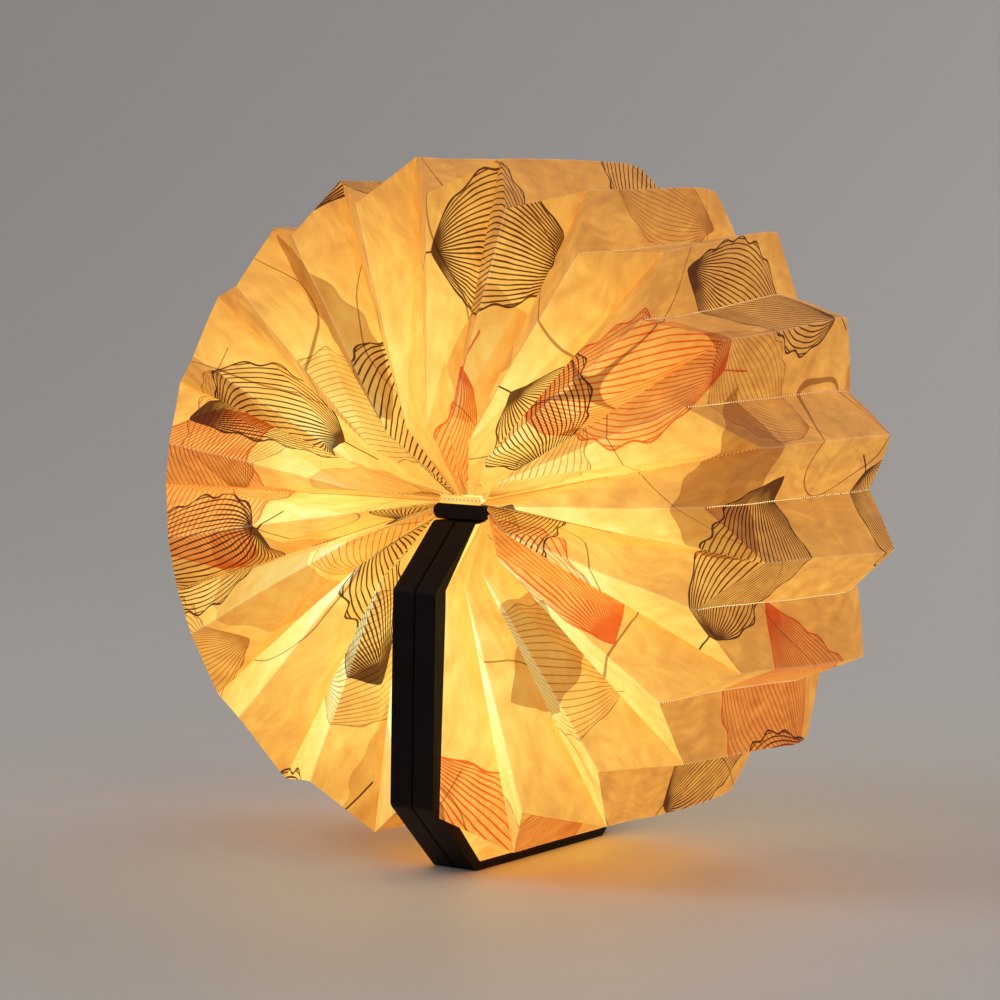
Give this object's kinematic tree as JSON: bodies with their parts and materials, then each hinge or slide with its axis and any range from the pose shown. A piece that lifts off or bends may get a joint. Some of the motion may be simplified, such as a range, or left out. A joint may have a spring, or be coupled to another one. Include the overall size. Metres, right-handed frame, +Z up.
{
  "type": "pleated paper table lamp",
  "caption": "Book-shaped folding table lamp whose pleated paper shade fans a full turn round a lit spine, with two octagonal covers back to back as its foot.",
  "frame": {"origin": "on the floor under the middle plane between the two covers, midway between the front and rear edges", "axes": "+Z up, +Y along the hinge axes towards the rear, +X across the covers towards the cover that holds the battery"},
  "size_m": [0.339, 0.19, 0.3363],
  "materials": {
    "cover_shell": "fine matt near-black",
    "cover_lining": "matt near-black",
    "magnet_plating": "bright nickel plating",
    "spine_metal": "black anodised",
    "spine_cap": "matt near-black",
    "pin_steel": "drawn rod",
    "strip_board": "white solder mask",
    "light_chip": "yellow phosphor",
    "diffuser": "frosted, translucent",
    "cell_foil": "satin foil",
    "foam_tape": "matt foam",
    "circuit_green": "green solder mask",
    "socket_shell": "stamped shell",
    "sensor_case": "moulded",
    "lead_film": "amber film",
    "shade_paper": "fibrous translucent coated paper"
  },
  "bodies": {
    "left_cover": {"left_cover_tray": "cover_shell", "left_cover_lining": "cover_lining", "left_cover_magnets": "magnet_plating", "left_end_panel": "shade_paper"},
    "spine": {"spine_bar": "spine_metal", "front_spine_cap": "spine_cap", "rear_spine_cap": "spine_cap", "left_hinge_pin": "pin_steel", "right_hinge_pin": "pin_steel", "light_strip": "strip_board", "light_chips": "light_chip", "light_diffuser": "diffuser", "front_hub_band": "shade_paper", "rear_hub_band": "shade_paper"},
    "right_cover": {"right_cover_tray": "cover_shell", "right_cover_lining": "cover_lining", "right_cover_magnets": "magnet_plating", "right_end_panel": "shade_paper", "battery_cell": "cell_foil", "battery_tape": "foam_tape", "control_board": "circuit_green", "charging_socket": "socket_shell", "opening_sensor": "sensor_case", "light_lead": "lead_film"},
    "shade_pleat_01": {"pleat_01": "shade_paper"},
    "shade_pleat_02": {"pleat_02": "shade_paper"},
    "shade_pleat_03": {"pleat_03": "shade_paper"},
    "shade_pleat_04": {"pleat_04": "shade_paper"},
    "shade_pleat_05": {"pleat_05": "shade_paper"},
    "shade_pleat_06": {"pleat_06": "shade_paper"},
    "shade_pleat_07": {"pleat_07": "shade_paper"},
    "shade_pleat_08": {"pleat_08": "shade_paper"},
    "shade_pleat_09": {"pleat_09": "shade_paper"},
    "shade_pleat_10": {"pleat_10": "shade_paper"},
    "shade_pleat_11": {"pleat_11": "shade_paper"},
    "shade_pleat_12": {"pleat_12": "shade_paper"},
    "shade_pleat_13": {"pleat_13": "shade_paper"},
    "shade_pleat_14": {"pleat_14": "shade_paper"},
    "shade_pleat_15": {"pleat_15": "shade_paper"},
    "shade_pleat_16": {"pleat_16": "shade_paper"},
    "shade_pleat_17": {"pleat_17": "shade_paper"},
    "shade_pleat_18": {"pleat_18": "shade_paper"},
    "shade_pleat_19": {"pleat_19": "shade_paper"},
    "shade_pleat_20": {"pleat_20": "shade_paper"}
  },
  "joints": [
    {"name": "left_hinge", "type": "hinge", "parent": "left_cover", "child": "spine", "pos_m": [-0.012, 0, 0.17], "axis": [0, -1, 0], "range_deg": [0, 180]},
    {"name": "right_hinge", "type": "hinge", "parent": "spine", "child": "right_cover", "pos_m": [0.012, 0, 0.17], "axis": [0, -1, 0], "range_deg": [0, 180]},
    {"name": "pleat_01_fold", "type": "hinge", "parent": "spine", "child": "shade_pleat_01", "pos_m": [-0.0114, 0, 0.1744], "axis": [0, -1, 0], "range_deg": [-169.59, 0], "deforming": ["pleat_01"]},
    {"name": "pleat_02_fold", "type": "hinge", "parent": "spine", "child": "shade_pleat_02", "pos_m": [-0.0102, 0, 0.1744], "axis": [0, -1, 0], "range_deg": [-148.91, 0], "deforming": ["pleat_02"]},
    {"name": "pleat_03_fold", "type": "hinge", "parent": "spine", "child": "shade_pleat_03", "pos_m": [-0.009, 0, 0.1744], "axis": [0, -1, 0], "range_deg": [-128.64, 0], "deforming": ["pleat_03"]},
    {"name": "pleat_04_fold", "type": "hinge", "parent": "spine", "child": "shade_pleat_04", "pos_m": [-0.0078, 0, 0.1744], "axis": [0, -1, 0], "range_deg": [-108.98, 0], "deforming": ["pleat_04"]},
    {"name": "pleat_05_fold", "type": "hinge", "parent": "spine", "child": "shade_pleat_05", "pos_m": [-0.0066, 0, 0.1744], "axis": [0, -1, 0], "range_deg": [-90.11, 0], "deforming": ["pleat_05"]},
    {"name": "pleat_06_fold", "type": "hinge", "parent": "spine", "child": "shade_pleat_06", "pos_m": [-0.0054, 0, 0.1744], "axis": [0, -1, 0], "range_deg": [-72.11, 0], "deforming": ["pleat_06"]},
    {"name": "pleat_07_fold", "type": "hinge", "parent": "spine", "child": "shade_pleat_07", "pos_m": [-0.0042, 0, 0.1744], "axis": [0, -1, 0], "range_deg": [-54.98, 0], "deforming": ["pleat_07"]},
    {"name": "pleat_08_fold", "type": "hinge", "parent": "spine", "child": "shade_pleat_08", "pos_m": [-0.003, 0, 0.1744], "axis": [0, -1, 0], "range_deg": [-38.64, 0], "deforming": ["pleat_08"]},
    {"name": "pleat_09_fold", "type": "hinge", "parent": "spine", "child": "shade_pleat_09", "pos_m": [-0.0018, 0, 0.1744], "axis": [0, -1, 0], "range_deg": [-22.91, 0], "deforming": ["pleat_09"]},
    {"name": "pleat_10_fold", "type": "hinge", "parent": "spine", "child": "shade_pleat_10", "pos_m": [-0.0006, 0, 0.1744], "axis": [0, -1, 0], "range_deg": [-7.59, 0], "deforming": ["pleat_10"]},
    {"name": "pleat_11_fold", "type": "hinge", "parent": "spine", "child": "shade_pleat_11", "pos_m": [0.0006, 0, 0.1744], "axis": [0, -1, 0], "range_deg": [0, 8.47], "deforming": ["pleat_11"]},
    {"name": "pleat_12_fold", "type": "hinge", "parent": "spine", "child": "shade_pleat_12", "pos_m": [0.0018, 0, 0.1744], "axis": [0, -1, 0], "range_deg": [0, 25.46], "deforming": ["pleat_12"]},
    {"name": "pleat_13_fold", "type": "hinge", "parent": "spine", "child": "shade_pleat_13", "pos_m": [0.003, 0, 0.1744], "axis": [0, -1, 0], "range_deg": [0, 42.6], "deforming": ["pleat_13"]},
    {"name": "pleat_14_fold", "type": "hinge", "parent": "spine", "child": "shade_pleat_14", "pos_m": [0.0042, 0, 0.1744], "axis": [0, -1, 0], "range_deg": [0, 59.97], "deforming": ["pleat_14"]},
    {"name": "pleat_15_fold", "type": "hinge", "parent": "spine", "child": "shade_pleat_15", "pos_m": [0.0054, 0, 0.1744], "axis": [0, -1, 0], "range_deg": [0, 77.64], "deforming": ["pleat_15"]},
    {"name": "pleat_16_fold", "type": "hinge", "parent": "spine", "child": "shade_pleat_16", "pos_m": [0.0066, 0, 0.1744], "axis": [0, -1, 0], "range_deg": [0, 95.64], "deforming": ["pleat_16"]},
    {"name": "pleat_17_fold", "type": "hinge", "parent": "spine", "child": "shade_pleat_17", "pos_m": [0.0078, 0, 0.1744], "axis": [0, -1, 0], "range_deg": [0, 113.97], "deforming": ["pleat_17"]},
    {"name": "pleat_18_fold", "type": "hinge", "parent": "spine", "child": "shade_pleat_18", "pos_m": [0.009, 0, 0.1744], "axis": [0, -1, 0], "range_deg": [0, 132.6], "deforming": ["pleat_18"]},
    {"name": "pleat_19_fold", "type": "hinge", "parent": "spine", "child": "shade_pleat_19", "pos_m": [0.0102, 0, 0.1744], "axis": [0, -1, 0], "range_deg": [0, 151.46], "deforming": ["pleat_19"]},
    {"name": "pleat_20_fold", "type": "hinge", "parent": "spine", "child": "shade_pleat_20", "pos_m": [0.0114, 0, 0.1744], "axis": [0, -1, 0], "range_deg": [0, 170.47], "deforming": ["pleat_20"]}
  ],
  "couplings": [
    {"joint": "right_hinge", "follows": "left_hinge", "ratio": 1},
    {"joint": "pleat_01_fold", "follows": "left_hinge", "ratio": -0.94218},
    {"joint": "pleat_02_fold", "follows": "left_hinge", "ratio": -0.8273},
    {"joint": "pleat_03_fold", "follows": "left_hinge", "ratio": -0.71464},
    {"joint": "pleat_04_fold", "follows": "left_hinge", "ratio": -0.60545},
    {"joint": "pleat_05_fold", "follows": "left_hinge", "ratio": -0.50062},
    {"joint": "pleat_06_fold", "follows": "left_hinge", "ratio": -0.40062},
    {"joint": "pleat_07_fold", "follows": "left_hinge", "ratio": -0.30545},
    {"joint": "pleat_08_fold", "follows": "left_hinge", "ratio": -0.21464},
    {"joint": "pleat_09_fold", "follows": "left_hinge", "ratio": -0.1273},
    {"joint": "pleat_10_fold", "follows": "left_hinge", "ratio": -0.042178},
    {"joint": "pleat_11_fold", "follows": "left_hinge", "ratio": 0.047044},
    {"joint": "pleat_12_fold", "follows": "left_hinge", "ratio": 0.14142},
    {"joint": "pleat_13_fold", "follows": "left_hinge", "ratio": 0.23664},
    {"joint": "pleat_14_fold", "follows": "left_hinge", "ratio": 0.33317},
    {"joint": "pleat_15_fold", "follows": "left_hinge", "ratio": 0.43134},
    {"joint": "pleat_16_fold", "follows": "left_hinge", "ratio": 0.53134},
    {"joint": "pleat_17_fold", "follows": "left_hinge", "ratio": 0.63317},
    {"joint": "pleat_18_fold", "follows": "left_hinge", "ratio": 0.73664},
    {"joint": "pleat_19_fold", "follows": "left_hinge", "ratio": 0.84142},
    {"joint": "pleat_20_fold", "follows": "left_hinge", "ratio": 0.94704}
  ]
}
